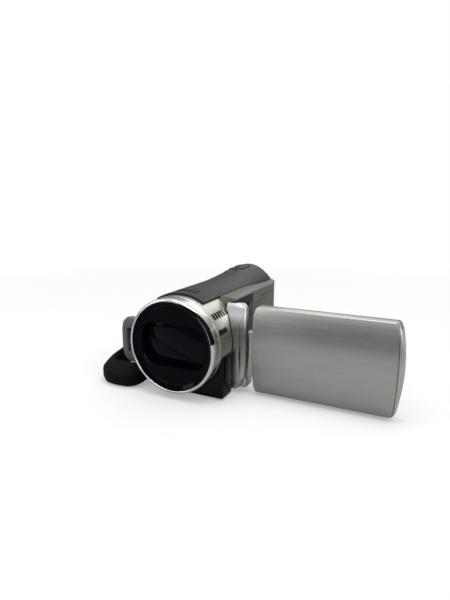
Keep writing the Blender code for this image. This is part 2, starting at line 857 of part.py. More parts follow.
def strap(name, path, thickness):
    """A soft band along path, whose points are (x, depth, low, middle and top height, lean)."""
    sections = []
    half = thickness / 2
    for i, (x, depth, low, middle, top, lean) in enumerate(path):
        before, after = path[max(i - 1, 0)], path[min(i + 1, len(path) - 1)]
        along = Vector((after[0] - before[0], after[1] - before[1])).normalized()
        inward = Vector((along.y, -along.x))
        profile = [(0, low), (-half, low + half * 0.8), (-half, middle)]
        profile += [(lean - half, top - half * 0.8), (lean, top), (lean + half, top - half)]
        profile += [(half, middle - 0.5), (half, low + half * 0.8)]
        sections.append([at(x + inward.x * a, depth + inward.y * a, z) for a, z in profile])
    return loft(name, "black_fabric", sections)


PAD_PATH = [
    (-27.4, 19.4, 2.6, 7.0, 11.2, 0.6),
    (-27.0, 13.0, 1.6, 6.6, 11.2, 2.0),
    (-27.8, 7.6, 0.8, 6.4, 11.4, 4.4),
    (-31.0, 3.8, 0.5, 6.4, 11.6, 7.4),
    (-36.0, 2.6, 0.5, 6.6, 11.9, 9.0),
    (-41.4, 2.7, 0.5, 7.0, 12.0, 9.0),
    (-46.2, 3.7, 0.5, 7.4, 12.0, 7.4),
    (-50.2, 7.0, 0.5, 7.8, 12.4, 5.4),
    (-52.6, 12.4, 0.5, 8.2, 13.2, 4.0),
    (-54.0, 19.0, 0.5, 8.6, 14.0, 3.4),
    (-54.8, 27.0, 0.6, 9.4, 15.0, 3.4),
    (-55.2, 37.0, 1.2, 11.0, 18.6, 3.4),
    (-54.8, 48.0, 3.4, 14.0, 24.0, 3.0),
    (-53.2, 59.0, 6.6, 17.4, 29.4, 2.6),
    (-50.6, 70.0, 10.2, 20.4, 33.2, 2.0),
    (-47.0, 82.0, 14.0, 23.6, 35.4, 1.0),
    (-42.6, 94.0, 17.8, 26.0, 35.0, 0.0),
]
BELT_PATH = [
    (-33.2, 28.0, 19.4, 26.0, 33.0, 0.0),
    (-33.2, 20.4, 19.4, 26.0, 33.0, 0.0),
    (-34.0, 17.6, 19.4, 26.0, 33.0, 0.0),
    (-37.0, 16.7, 19.4, 26.0, 33.0, 0.0),
    (-40.2, 17.8, 19.4, 26.0, 33.0, 0.0),
    (-42.2, 21.6, 19.4, 26.0, 33.0, 0.0),
    (-43.8, 28.0, 18.8, 25.4, 32.4, 0.0),
    (-45.4, 36.0, 17.6, 24.2, 31.0, 0.0),
    (-46.8, 46.0, 14.6, 21.2, 28.0, 0.0),
    (-46.6, 55.0, 12.4, 19.0, 25.8, 0.0),
]


def make_strap():
    strap("strap_pad", PAD_PATH, 4.4)
    strap("strap_belt", BELT_PATH, 1.4)


# ---------------------------------------------------------------- moving pieces

SWING_CENTRE = (*SWING_AXIS, DOOR_MID_Z)
TWIST_CENTRE = (DOOR_X[0], TWIST_DEPTH, DOOR_MID_Z)
DOOR_PIECES = ["door_cover", "door_frame", "display_panel", "display_window"]
DOOR_PIECES += [name for name, _, _ in DOOR_BUTTONS]


def pivot(name, centre, pieces, under=None):
    """An empty on a joint's axis, at (x, depth, z). The pieces it carries keep their places."""
    empty = bpy.data.objects.new(name, None)
    empty.empty_display_size = 5 * MM
    PARTS.objects.link(empty)
    empty.location = at(*centre)
    if under:
        empty.parent = under
        empty.matrix_parent_inverse = Matrix.Translation(-under.location)
    for piece in pieces:
        moving = bpy.data.objects[piece]
        moving.parent = empty
        moving.matrix_parent_inverse = Matrix.Translation(-at(*centre))
    return empty


def make_pivots():
    swing = pivot("swing_pivot", SWING_CENTRE, ["hinge_block", "twist_shaft"])
    pivot("twist_pivot", TWIST_CENTRE, DOOR_PIECES, under=swing)
    for name, side in (("upper_shutter_blade", 1), ("lower_shutter_blade", -1)):
        pivot(f"{name}_pivot", (0, SHUTTER_DEPTH, LENS_Z + side * SHUTTER_PIVOT), [name])
    pivot("zoom_slide", (0, 40.0, LENS_Z), ["zoom_lens_holder", "zoom_lens"])
    pivot("focus_slide", (0, 56.0, LENS_Z), ["focus_lens_holder", "focus_lens"])
    pivot("zoom_lever_pivot", ZOOM_LEVER_AXIS, ["zoom_lever"])
    pivot("card_door_pivot", (WALL_X + 0.1, sum(CARD_DOOR[0]) / 2, CARD_DOOR[1][0]), ["card_door"])
    terminal_axis = (WALL_X + 0.1, TERMINAL_DOOR[0][1], sum(TERMINAL_DOOR[1]) / 2)
    pivot("terminal_door_pivot", terminal_axis, ["terminal_door"])


clear_scene()
PARTS = make_collection("camcorder")
CUTTERS = make_collection("cutters")
make_casing()
make_lens_ring()
make_front_bezel()
make_shutters()
make_optics()
make_hinge_column()
make_hinge()
make_door()
make_rear_controls()
make_top_controls()
make_wall_parts()
make_inside()
make_strap_brackets()
make_strap()
make_pivots()
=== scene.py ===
"""Looks for the camcorder: brushed, satin and polished metal, glossy and moulded plastic, glass,
and a padded hand strap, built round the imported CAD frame.

Sizes are in millimetres. "depth" is the distance behind the lens ring's front face, as in the
CAD model, and at() turns (x, depth, height) into metres.
"""

import math

import bmesh
import bpy
from mathutils import Matrix, Vector


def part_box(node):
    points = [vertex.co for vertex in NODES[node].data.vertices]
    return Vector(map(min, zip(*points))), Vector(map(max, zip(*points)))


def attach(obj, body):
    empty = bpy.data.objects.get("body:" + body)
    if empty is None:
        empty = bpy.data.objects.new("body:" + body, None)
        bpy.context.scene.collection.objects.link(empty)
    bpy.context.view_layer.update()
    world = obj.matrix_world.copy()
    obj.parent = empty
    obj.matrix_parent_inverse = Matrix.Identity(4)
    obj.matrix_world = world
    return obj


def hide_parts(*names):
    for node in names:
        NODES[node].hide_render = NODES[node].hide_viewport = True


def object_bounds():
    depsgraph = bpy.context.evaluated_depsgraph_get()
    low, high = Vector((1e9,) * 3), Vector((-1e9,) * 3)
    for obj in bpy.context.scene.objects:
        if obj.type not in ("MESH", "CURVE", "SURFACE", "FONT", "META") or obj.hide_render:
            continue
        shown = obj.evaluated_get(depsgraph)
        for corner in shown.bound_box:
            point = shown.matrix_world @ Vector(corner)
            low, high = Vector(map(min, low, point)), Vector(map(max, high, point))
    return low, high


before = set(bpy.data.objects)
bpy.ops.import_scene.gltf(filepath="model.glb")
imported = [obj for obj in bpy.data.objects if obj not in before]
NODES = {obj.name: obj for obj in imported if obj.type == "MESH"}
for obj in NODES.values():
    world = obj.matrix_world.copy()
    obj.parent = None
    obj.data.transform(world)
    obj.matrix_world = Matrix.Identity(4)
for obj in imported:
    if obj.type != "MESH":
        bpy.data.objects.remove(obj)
bpy.context.view_layer.update()
CAD_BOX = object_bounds()

MM = 0.001
RING_LOW, RING_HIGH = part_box("lens_ring")
FRONT_Y = RING_LOW.y / MM
LENS_Z = (RING_LOW.z + RING_HIGH.z) / 2 / MM
BODY = "camera_body"


def at(x, depth, z):
    return Vector((x, FRONT_Y + depth, z)) * MM


# ---------------------------------------------------------------- material tools


class Shade:
    """A node material under construction."""

    def __init__(self, name):
        self.material = bpy.data.materials.new(name)
        self.material.use_nodes = True
        self.tree = self.material.node_tree
        self.shader = self.tree.nodes["Principled BSDF"]
        self.coords = self.tree.nodes.new("ShaderNodeTexCoord")

    def add(self, kind, settings=None, **sockets):
        node = self.tree.nodes.new(kind)
        for key, value in (settings or {}).items():
            setattr(node, key, value)
        for key, value in sockets.items():
            self.feed(node, key.replace("_", " "), value)
        return node

    def feed(self, node, key, value):
        socket = node.inputs[int(key)] if key.isdigit() else node.inputs[key]
        if isinstance(value, bpy.types.NodeSocket):
            self.tree.links.new(value, socket)
        else:
            socket.default_value = value

    def set(self, **sockets):
        for key, value in sockets.items():
            self.feed(self.shader, key.replace("_", " "), value)

    def place(self, *stretch):
        """Object coordinates in millimetres, multiplied by stretch on each axis."""
        factors = [s / MM for s in (stretch or (1, 1, 1))]
        node = self.add("ShaderNodeMapping", Vector=self.coords.outputs["Object"], Scale=factors)
        return node.outputs[0]

    def uv(self, *scale):
        node = self.add("ShaderNodeMapping", Vector=self.coords.outputs["UV"], Scale=(*scale, 1))
        return node.outputs[0]

    def noise(self, where, scale=1.0, detail=3.0, roughness=0.55):
        node = self.add(
            "ShaderNodeTexNoise", Vector=where, Scale=scale, Detail=detail, Roughness=roughness
        )
        return node.outputs["Fac"]

    def remap(self, value, low, high, start=0.3, end=0.7):
        """low where the value is start or less, high where it is end or more, and even between."""
        node = self.add("ShaderNodeMapRange")
        for key, number in zip("01234", (value, start, end, low, high)):
            self.feed(node, key, number)
        return node.outputs[0]

    def blend(self, factor, first, second):
        node = self.add("ShaderNodeMix", {"data_type": "RGBA"})
        self.feed(node, "0", factor)
        for key, value in (("6", first), ("7", second)):
            if isinstance(value, tuple):
                value = (*value, 1.0)
            self.feed(node, key, value)
        return node.outputs[2]

    def shaded_by_height(self, tone, painted_shade_levels):
        """Paints shade and highlight onto a colour: multiplies it by a brightness that changes with
        the height in millimetres.
        """
        height = self.add("ShaderNodeSeparateXYZ", Vector=self.place()).outputs[2]
        bottom, top = painted_shade_levels[0][0], painted_shade_levels[-1][0]
        ramp = self.add("ShaderNodeValToRGB", Fac=self.remap(height, 0.0, 1.0, bottom, top))
        elements = ramp.color_ramp.elements
        for z, _ in painted_shade_levels[1:-1]:
            elements.new((z - bottom) / (top - bottom))
        for element, (_, level) in zip(elements, painted_shade_levels):
            element.color = (level, level, level, 1.0)
        mix = self.add("ShaderNodeMix", {"data_type": "RGBA", "blend_type": "MULTIPLY"})
        for key, value in (("0", 1.0), ("6", tone), ("7", ramp.outputs[0])):
            self.feed(mix, key, value)
        return mix.outputs[2]

    def math(self, operation, first, second=0.0):
        node = self.add("ShaderNodeMath", {"operation": operation})
        self.feed(node, "0", first)
        self.feed(node, "1", second)
        return node.outputs[0]

    def bump(self, height, strength, distance):
        """Roughens the surface by a distance in millimetres."""
        node = self.add("ShaderNodeBump", Height=height, Strength=strength, Distance=distance * MM)
        return node.outputs[0]


def dim(colour, factor):
    return tuple(c * factor for c in colour)


def brushed_metal(name, colour, along, streak=0.9, painted_shade_levels=None):
    """Linear brushing along one axis, with broad streaks, fine grain and stretched highlights.

    The last argument can list (height, brightness) pairs for painted shade and highlight that change
    from base to top.
    """
    shade = Shade(name)
    stretch = [3.2, 3.2, 3.2]
    stretch[along] = 0.030
    broad = [0.35, 0.35, 0.35]
    broad[along] = 0.008
    grain = shade.noise(shade.place(*stretch), 1.6, 5, 0.65)
    streaks = shade.noise(shade.place(*broad), 1.0, 3)
    smudge = shade.noise(shade.place(0.03, 0.03, 0.03), 1.0, 2)
    tone = shade.blend(shade.remap(grain, 0.0, 1.0), dim(colour, 0.78), dim(colour, 1.12))
    tone = shade.blend(shade.remap(streaks, 0.0, 0.5), tone, dim(colour, streak))
    # Painted shade and highlight that change with the height.
    if painted_shade_levels:
        tone = shade.shaded_by_height(tone, painted_shade_levels)
    rough = shade.remap(grain, 0.26, 0.40)
    rough = shade.math("ADD", rough, shade.remap(smudge, -0.03, 0.05))
    direction = [0.0, 0.0, 0.0]
    direction[along] = 1.0
    tangent = shade.add(
        "ShaderNodeVectorTransform",
        {"vector_type": "VECTOR", "convert_from": "OBJECT", "convert_to": "WORLD"},
        Vector=direction,
    )
    shade.set(
        Base_Color=tone,
        Metallic=1.0,
        Roughness=rough,
        Anisotropic=0.45,
        Tangent=tangent.outputs[0],
        Normal=shade.bump(grain, 0.5, 0.008),
    )
    return shade.material


def satin_metal(name, colour, roughness, metallic, flake=0.004):
    """Bead-blasted metal or metallic paint: soft mottling, slight handling marks, and a sparkle
    that flake makes stronger."""
    shade = Shade(name)
    mottle = shade.noise(shade.place(0.12, 0.12, 0.12), 1.0, 3)
    marks = shade.noise(shade.place(0.5, 0.09, 0.9), 1.0, 4)
    tone = shade.blend(shade.remap(mottle, 0.0, 1.0), dim(colour, 0.96), dim(colour, 1.03))
    if flake:
        sparkle = shade.noise(shade.place(9, 9, 9), 1.0, 2)
        tone = shade.blend(shade.remap(sparkle, 0.0, 0.5, 0.45, 0.75), tone, dim(colour, 1.12))
        shade.set(Normal=shade.bump(sparkle, 0.2, flake))
    rough = shade.remap(marks, roughness - 0.02, roughness + 0.03)
    shade.set(Base_Color=tone, Metallic=metallic, Roughness=rough)
    return shade.material


def polished_metal(name, colour, roughness):
    """Buffed metal with a faint film and fine hairlines."""
    shade = Shade(name)
    film = shade.noise(shade.place(0.11, 0.11, 0.11), 1.0, 4)
    hairs = shade.noise(shade.place(2.4, 0.2, 2.4), 1.0, 3)
    shade.set(
        Base_Color=shade.blend(shade.remap(film, 0.0, 1.0), dim(colour, 0.96), colour),
        Metallic=1.0,
        Roughness=shade.remap(film, roughness * 0.7, roughness * 1.8),
        Normal=shade.bump(hairs, 0.10, 0.003),
    )
    return shade.material


def gloss_plastic(name, colour, roughness, shine=0.35):
    """Piano-finish plastic with fine hairline scratches and a few specks of dust."""
    shade = Shade(name)
    film = shade.noise(shade.place(0.10, 0.10, 0.10), 1.0, 4)
    dust = shade.noise(shade.place(2.2, 2.2, 2.2), 1.0, 2)
    scratches = shade.noise(shade.place(3.0, 0.10, 0.35), 1.0, 4)
    speck = shade.remap(dust, 0.0, 0.5, 0.72, 0.80)
    shade.set(
        Base_Color=shade.blend(speck, colour, (0.22, 0.22, 0.22)),
        Roughness=shade.math("ADD", shade.remap(film, roughness * 0.6, roughness * 1.7), speck),
        Specular_IOR_Level=shine,
        Coat_Weight=0.1,
        Coat_Roughness=0.04,
        Normal=shade.bump(scratches, 0.05, 0.002),
    )
    return shade.material


def moulded_plastic(name, colour, roughness):
    """Spark-eroded moulded plastic: an even, fine pebbled skin."""
    shade = Shade(name)
    cells = shade.add("ShaderNodeTexVoronoi", Vector=shade.place(3.4, 3.4, 3.4), Scale=1.0)
    mottle = shade.noise(shade.place(0.2, 0.2, 0.2), 1.0, 3)
    pebble = shade.math("ADD", cells.outputs["Distance"], shade.noise(shade.place(7, 7, 7), 1, 2))
    shade.set(
        Base_Color=shade.blend(shade.remap(mottle, 0.0, 1.0), dim(colour, 0.85), dim(colour, 1.15)),
        Roughness=shade.remap(mottle, roughness - 0.05, roughness + 0.07),
        Normal=shade.bump(pebble, 0.30, 0.02),
    )
    return shade.material


def lens_coating(name):
    """Coated optical glass: almost black, with a violet to green bloom that turns with the angle."""
    shade = Shade(name)
    facing = shade.add("ShaderNodeLayerWeight", Blend=0.35).outputs["Facing"]
    ripple = shade.noise(shade.place(0.08, 0.08, 0.08), 1.0, 2)
    violet, green = (0.05, 0.015, 0.10), (0.01, 0.08, 0.05)
    bloom = shade.blend(shade.remap(facing, 0.0, 1.0, 0.0, 0.9), violet, green)
    shade.set(
        Base_Color=shade.blend(shade.remap(ripple, 0.0, 0.4), bloom, (0.004, 0.005, 0.010)),
        Roughness=shade.remap(ripple, 0.02, 0.05),
        Specular_IOR_Level=0.9,
        Coat_Weight=1.0,
        Coat_Tint=(0.75, 0.65, 1.0, 1.0),
        Coat_Roughness=0.02,
    )
    return shade.material


def webbing(name, colour, pitch):
    """Woven nylon. UVs run in millimetres along and across the band; threads cross over and under."""
    shade = Shade(name)
    where = shade.add("ShaderNodeSeparateXYZ", Vector=shade.uv(1, 1))
    along = shade.math("MULTIPLY", where.outputs[0], math.pi / pitch[0])
    across = shade.math("MULTIPLY", where.outputs[1], math.pi / pitch[1])
    weave = shade.math("MULTIPLY", shade.math("SINE", along), shade.math("SINE", across))
    fuzz = shade.noise(shade.uv(6, 6), 1.0, 3)
    fade = shade.noise(shade.uv(0.10, 0.10), 1.0, 3)
    height = shade.math("ADD", shade.remap(weave, 0.0, 1.0, -1.0, 1.0), shade.remap(fuzz, 0.0, 0.4))
    tone = shade.blend(shade.remap(weave, 0.0, 1.0, -1.0, 1.0), dim(colour, 0.45), dim(colour, 1.5))
    tone = shade.blend(shade.remap(fade, 0.0, 0.4), tone, dim(colour, 2.0))
    shade.set(
        Base_Color=tone,
        Roughness=0.82,
        Specular_IOR_Level=0.15,
        Sheen_Weight=0.03,
        Sheen_Roughness=0.5,
        Sheen_Tint=(0.5, 0.55, 0.7, 1.0),
        Normal=shade.bump(height, 0.6, 0.16),
    )
    return shade.material


def floor_material():
    """White paper that fades into the backdrop. In the camcorder's reflections it is darker, like a
    table beyond the paper."""
    shade = Shade("paper_sweep")
    grain = shade.noise(shade.place(0.4, 0.4, 0.4), 1.0, 3)
    paper = shade.blend(grain, (0.90, 0.90, 0.90), (0.93, 0.93, 0.93))
    seen = shade.add("ShaderNodeLightPath").outputs["Is Camera Ray"]
    place = shade.coords.outputs["Object"]
    away = shade.add("ShaderNodeVectorMath", {"operation": "LENGTH"}, Vector=place)
    far = shade.remap(away.outputs["Value"], 0.30, 1.0, 0.16, 0.50)
    faded = shade.blend(far, paper, (0.0, 0.0, 0.0))
    shade.set(
        Base_Color=shade.blend(seen, (0.42, 0.42, 0.42), faded),
        Roughness=0.8,
        Specular_IOR_Level=0.0,
        Emission_Color=(1.0, 1.0, 1.0, 1.0),
        Emission_Strength=shade.math("MULTIPLY", seen, far),
    )
    return shade.material


# ---------------------------------------------------------------- mesh tools


def smoothing_group(angle):
    """A geometry modifier that shades faces smoothly, except across edges sharper than angle."""
    group = bpy.data.node_groups.new(f"smooth_{angle}", "GeometryNodeTree")
    group.interface.new_socket("Geometry", in_out="INPUT", socket_type="NodeSocketGeometry")
    group.interface.new_socket("Geometry", in_out="OUTPUT", socket_type="NodeSocketGeometry")
    start = group.nodes.new("NodeGroupInput")
    finish = group.nodes.new("NodeGroupOutput")
    faces = group.nodes.new("GeometryNodeSetShadeSmooth")
    edges = group.nodes.new("GeometryNodeSetShadeSmooth")
    edges.domain = "EDGE"
    turn = group.nodes.new("GeometryNodeInputMeshEdgeAngle")
    compare = group.nodes.new("FunctionNodeCompare")
    compare.operation = "LESS_THAN"
    compare.inputs[1].default_value = math.radians(angle)
    group.links.new(start.outputs[0], faces.inputs[0])
    group.links.new(faces.outputs[0], edges.inputs[0])
    group.links.new(turn.outputs["Unsigned Angle"], compare.inputs[0])
    group.links.new(compare.outputs[0], edges.inputs["Shade Smooth"])
    group.links.new(edges.outputs[0], finish.inputs[0])
    return group


SMOOTH = smoothing_group(38)
EDGE_ANGLE = 40  # degrees; sharper CAD edges are rounded
WELD_DISTANCE = 0.000002


def smooth_by_angle(obj):
    obj.modifiers.new("smooth", "NODES").node_group = SMOOTH


def dress(names, finish, bevel=0.0, segments=2):
    """Gives CAD nodes their finish, soft edges and smooth shading."""
    for name in names.split():
        obj = NODES[name]
        mesh = obj.data
        if "custom_normal" in mesh.attributes:
            mesh.attributes.remove(mesh.attributes["custom_normal"])
        mesh.materials.clear()
        mesh.materials.append(finish)
        weld = obj.modifiers.new("weld", "WELD")
        weld.merge_threshold = WELD_DISTANCE
        if bevel:
            edges = obj.modifiers.new("edges", "BEVEL")
            edges.width = bevel * MM
            edges.segments = segments
            edges.limit_method = "ANGLE"
            edges.angle_limit = math.radians(EDGE_ANGLE)
        smooth_by_angle(obj)


def add_piece(name, bm, finish, body=BODY, replaces=()):
    """Makes a visual piece that rides a body and can stand in for CAD nodes."""
    mesh = bpy.data.meshes.new(name)
    bm.to_mesh(mesh)
    bm.free()
    obj = bpy.data.objects.new(name, mesh)
    bpy.context.scene.collection.objects.link(obj)
    mesh.materials.append(finish)
    smooth_by_angle(obj)
    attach(obj, body)
    if replaces:
        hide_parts(*replaces)


def skin(rows, closed_rows=True, closed_ends=False, uvs=None):
    """Faces between rows of points. Rows can close on themselves, and the last row on the first.
    Otherwise a skin of closed rows is capped at both ends."""
    bm = bmesh.new()
    grid = [[bm.verts.new(p) for p in row] for row in rows]
    count = len(grid[0])
    layer = bm.loops.layers.uv.new("UVMap") if uvs else None
    pairs = list(zip(range(len(grid)), range(1, len(grid))))
    if closed_ends:
        pairs.append((len(grid) - 1, 0))
    for a, b in pairs:
        for j in range(count if closed_rows else count - 1):
            k = (j + 1) % count
            face = bm.faces.new((grid[a][j], grid[b][j], grid[b][k], grid[a][k]))
            if uvs:
                wrap = j + 1 if closed_rows else k
                spots = (uvs(a, j), uvs(a + 1, j), uvs(a + 1, wrap), uvs(a, wrap))
                for loop, spot in zip(face.loops, spots):
                    loop[layer].uv = spot
    if closed_rows and not closed_ends:
        bm.faces.new(grid[0])
        bm.faces.new(list(reversed(grid[-1])))
    bmesh.ops.recalc_face_normals(bm, faces=bm.faces)
    return bm


def lathe_rows(profile, start=0.0, end=360.0, steps=180, centre=(0.0, LENS_Z)):
    """Rows of (radius, depth) points turned about a lengthways axis. 0 degrees is +X, 90 is up."""
    rows = []
    x, z = centre
    full_turn = end - start == 360
    for i in range(steps if full_turn else steps + 1):
        turn = math.radians(start + (end - start) * i / steps)
        rows.append([at(x + r * math.cos(turn), d, z + r * math.sin(turn)) for r, d in profile])
    return rows


def patch(name, angles, depths):
    """A thin black plate that lies on the barrel sleeve, between two angles and two depths."""
    low, high, slope = SLEEVE_OUTER - 0.2, SLEEVE_OUTER + 0.1, 0.05
    profile = [
        (low, depths[0]),
        (high, depths[0] + slope),
        (high, depths[1] - slope),
        (low, depths[1]),
    ]
    rows = lathe_rows(profile, angles[0], angles[1], 24)
    add_piece(name, skin(rows), GLOSS_BLACK)


def curve_through(points, per_span):
    """A smooth path through rows of numbers, by Catmull-Rom interpolation."""
    path = []
    last = len(points) - 1
    for i in range(last):
        p0, p1 = points[max(i - 1, 0)], points[i]
        p2, p3 = points[i + 1], points[min(i + 2, last)]
        for step in range(per_span):
            t = step / per_span
            path.append(
                [
                    0.5
                    * (
                        2 * b
                        + (c - a) * t
                        + (2 * a - 5 * b + 4 * c - d) * t * t
                        + (3 * b - a - 3 * c + d) * t**3
                    )
                    for a, b, c, d in zip(p0, p1, p2, p3)
                ]
            )
    path.append(list(points[-1]))
    return path


def smooth(value):
    """Eases from 0 to 1, and stays there outside."""
    value = max(0.0, min(1.0, value))
    return value * value * (3 - 2 * value)


def along_line(points, share):
    """The point a share of the way along a polyline."""
    spans = [math.dist(a, b) for a, b in zip(points, points[1:])]
    left = share * sum(spans)
    for a, b, length in zip(points, points[1:], spans):
        if left <= length:
            return tuple(p + (q - p) * left / length for p, q in zip(a, b))
        left -= length
    return points[-1]


def span(name, axis):
    """A CAD node's low and high in millimetres: x for axis 0, depth for 1, height for 2."""
    low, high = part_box(name)
    shift = FRONT_Y if axis == 1 else 0.0
    return low[axis] / MM - shift, high[axis] / MM - shift


def make_block(name, finish, x, depth, z, slot, bevel, body=BODY, replaces=()):
    """A block with rounded edges between two x, two depths and two heights."""
    bm = bmesh.new()
    bmesh.ops.create_cube(bm, size=1.0)
    size = Vector((x[1] - x[0], depth[1] - depth[0], z[1] - z[0])) * MM
    bmesh.ops.scale(bm, vec=size, verts=bm.verts)
    centre = at(sum(x) / 2, sum(depth) / 2, sum(z) / 2)
    bmesh.ops.translate(bm, vec=centre, verts=bm.verts)
    bmesh.ops.bevel(bm, geom=bm.edges, offset=bevel * MM, segments=3, affect="EDGES", profile=0.5)
    add_piece(name, bm, finish, body, replaces)


# ---------------------------------------------------------------- finishes

DOOR_METAL = brushed_metal("door_brushed_metal", (0.60, 0.605, 0.58), 0)
# Painted shade and highlight up the pillar: darkest in the middle, where it mirrors the dark sleeve
# beside it, and bright at the top.
COLUMN_PAINTED_SHADE = [
    (2.0, 0.85),
    (12.0, 0.80),
    (22.0, 0.45),
    (34.0, 0.28),
    (41.0, 0.50),
    (45.0, 0.95),
    (51.0, 0.85),
]
COLUMN_METAL = brushed_metal("column_brushed_metal", (0.82, 0.83, 0.82), 2, 0.95, COLUMN_PAINTED_SHADE)
SLEEVE_METAL = satin_metal("sleeve_satin_metal", (0.74, 0.71, 0.63), 0.29, 1.0, 0)
FRAME_METAL = satin_metal("door_frame_champagne", (0.66, 0.63, 0.56), 0.30, 0.9)
SHELL_PAINT = satin_metal("shell_metallic_paint", (0.22, 0.215, 0.19), 0.46, 0.7)
ROOF_PAINT = satin_metal("roof_titanium_paint", (0.058, 0.062, 0.060), 0.46, 0.5)
BUTTON_PAINT = satin_metal("button_dark_metal", (0.10, 0.10, 0.10), 0.40, 0.7)
CHROME = polished_metal("ring_polished_metal", (0.90, 0.89, 0.84), 0.15)
INLAY_BLACK = gloss_plastic("inlay_black", (0.004, 0.003, 0.003), 0.10, 0.03)
STEEL = satin_metal("machined_steel", (0.45, 0.45, 0.44), 0.35, 1.0)
GLOSS_BLACK = gloss_plastic("gloss_black", (0.0015, 0.002, 0.003), 0.08, 0.14)
GLASS_BLACK = gloss_plastic("front_glass_black", (0.0005, 0.001, 0.003), 0.04, 0.04)
BLADE_BLACK = gloss_plastic("shutter_blade_black", (0.001, 0.002, 0.005), 0.10, 0.06)
MATTE_BLACK = moulded_plastic("moulded_black", (0.012, 0.012, 0.013), 0.50)
MATTE_GREY = moulded_plastic("moulded_grey", (0.125, 0.135, 0.135), 0.42)
RED_GLOSS = gloss_plastic("button_red", (0.50, 0.02, 0.02), 0.15)
BOARD_GREEN = moulded_plastic("circuit_board", (0.03, 0.16, 0.08), 0.40)
LENS_GLASS = lens_coating("coated_lens_glass")
BATTERY_BLACK = moulded_plastic("battery_black", (0.020, 0.020, 0.021), 0.40)
LABEL_GREY = moulded_plastic("label_grey", (0.055, 0.056, 0.058), 0.55)
SCREEN_DARK = gloss_plastic("screen_picture_dark", (0.006, 0.007, 0.010), 0.12, 0.5)
PAD_WEAVE = webbing("pad_nylon", (0.0022, 0.0026, 0.0040), (1.1, 1.1))
BELT_WEAVE = webbing("belt_webbing", (0.0035, 0.0040, 0.0052), (0.7, 1.6))
THREAD = moulded_plastic("sewing_thread", (0.02, 0.02, 0.024), 0.7)


def dress_cad_nodes():
    dress("top_cover", ROOF_PAINT, 0.25)
    dress("right_shell left_shell rear_panel card_door terminal_door", SHELL_PAINT, 0.18)
    dress("hinge_column", COLUMN_METAL, 0.5, 3)
    dress("door_cover", DOOR_METAL, 0.35, 3)
    dress("door_frame", FRAME_METAL, 0.3, 2)
    dress("hinge_block", FRAME_METAL, 0.1)
    dress("display_window", GLASS_BLACK, 0.1)
    dress("display_panel hinge_bracket base_plate battery_latch lens_mount_plate", MATTE_BLACK)
    dress("front_lower_cover", GLOSS_BLACK, 0.2)
    dress("upper_shutter_blade lower_shutter_blade", BLADE_BLACK, 0.12)
    dress("front_strap_bracket rear_strap_bracket", MATTE_GREY, 0.15)
    dress("zoom_lever", ROOF_PAINT)
    dress("mode_dial door_zoom_in_button door_zoom_out_button", MATTE_GREY, 0.15)
    dress("record_button door_record_button record_lamp", RED_GLOSS, 0.15)
    dress("photo_button", ROOF_PAINT, 0.2)
    dress("power_button auto_button", BUTTON_PAINT, 0.15)
    dress("battery_pack", MATTE_BLACK, 0.1)
    dress("front_lens zoom_lens focus_lens", LENS_GLASS)
    dress("lens_tube front_lens_cell zoom_lens_holder focus_lens_holder", MATTE_BLACK)
    dress("sensor_block speaker memory_card socket_block microphone_grille", MATTE_BLACK)
    dress("chassis tripod_bush hinge_pin twist_shaft", STEEL)
    dress("lens_guide_rod_left lens_guide_rod_right", STEEL)
    dress("base_screw_1 base_screw_2 base_screw_3 base_screw_4", STEEL)
    dress("main_board", BOARD_GREEN)


# ---------------------------------------------------------------- lens front

RING_PROFILE = [
    (26.4, 7.3),
    (26.45, 6.4),
    (26.5, 4.0),
    (26.5, 2.4),
    (26.44, 1.5),
    (26.2, 0.7),
    (25.8, 0.22),
    (25.4, 0.03),
    (25.05, 0.0),
    (24.85, 0.12),
    (24.74, 0.4),
    (24.68, 1.2),
    (24.62, 3.0),
    (24.62, 7.3),
]
RING_EDGE = RING_PROFILE[9:1:-1]  # its rounded front edge, from the inside out


def make_ring():
    bm = skin(lathe_rows(RING_PROFILE), closed_ends=True)
    add_piece("lens_ring_polished", bm, CHROME, replaces=["lens_ring"])


INLAY_SPAN = (10.0, 77.0)  # degrees round the ring
INLAY_REACH = 0.66  # its greatest share of the ring's front edge
INLAY_THIN = 0.86  # how much of that is lost towards the top


def make_inlay():
    """A black inlay on the ring's rounded front edge, broad beside the hinge and thin at the top."""
    rows, steps, across = [], 70, 7
    for i in range(steps + 1):
        share = i / steps
        reach = 1.0 - INLAY_THIN * smooth((share - 0.25) / 0.7)
        reach *= min(1.0, share / 0.03, (1 - share) / 0.05) ** 0.5
        turn = math.radians(INLAY_SPAN[0] + (INLAY_SPAN[1] - INLAY_SPAN[0]) * share)
        outer, inner = [], []
        for j in range(across + 1):
            r, d = along_line(RING_EDGE, max(reach, 0.02) * INLAY_REACH * j / across)
            outer.append((r + 0.05, d - 0.05))
            inner.append((r - 0.15, d + 0.15))
        row = outer + inner[::-1]
        rows.append([at(r * math.cos(turn), d, LENS_Z + r * math.sin(turn)) for r, d in row])
    add_piece("ring_black_inlay", skin(rows), INLAY_BLACK)


SLEEVE_OUTER = 26.4
SLEEVE_INNER = 25.2
SLEEVE_START = 7.6
SLEEVE_SHORT_END = 25.6
SLEEVE_LONG_END = 29.8
LINING_END = 25.4


def sleeve_end(turn):
    """How deep the sleeve reaches at an angle: shorter beside the hinge, where the door swings."""
    angle = (turn + 180) % 360 - 180
    if angle <= -78:
        return SLEEVE_LONG_END
    growth = smooth((angle - 24) / 20)
    return SLEEVE_SHORT_END + (SLEEVE_LONG_END - SLEEVE_SHORT_END) * growth


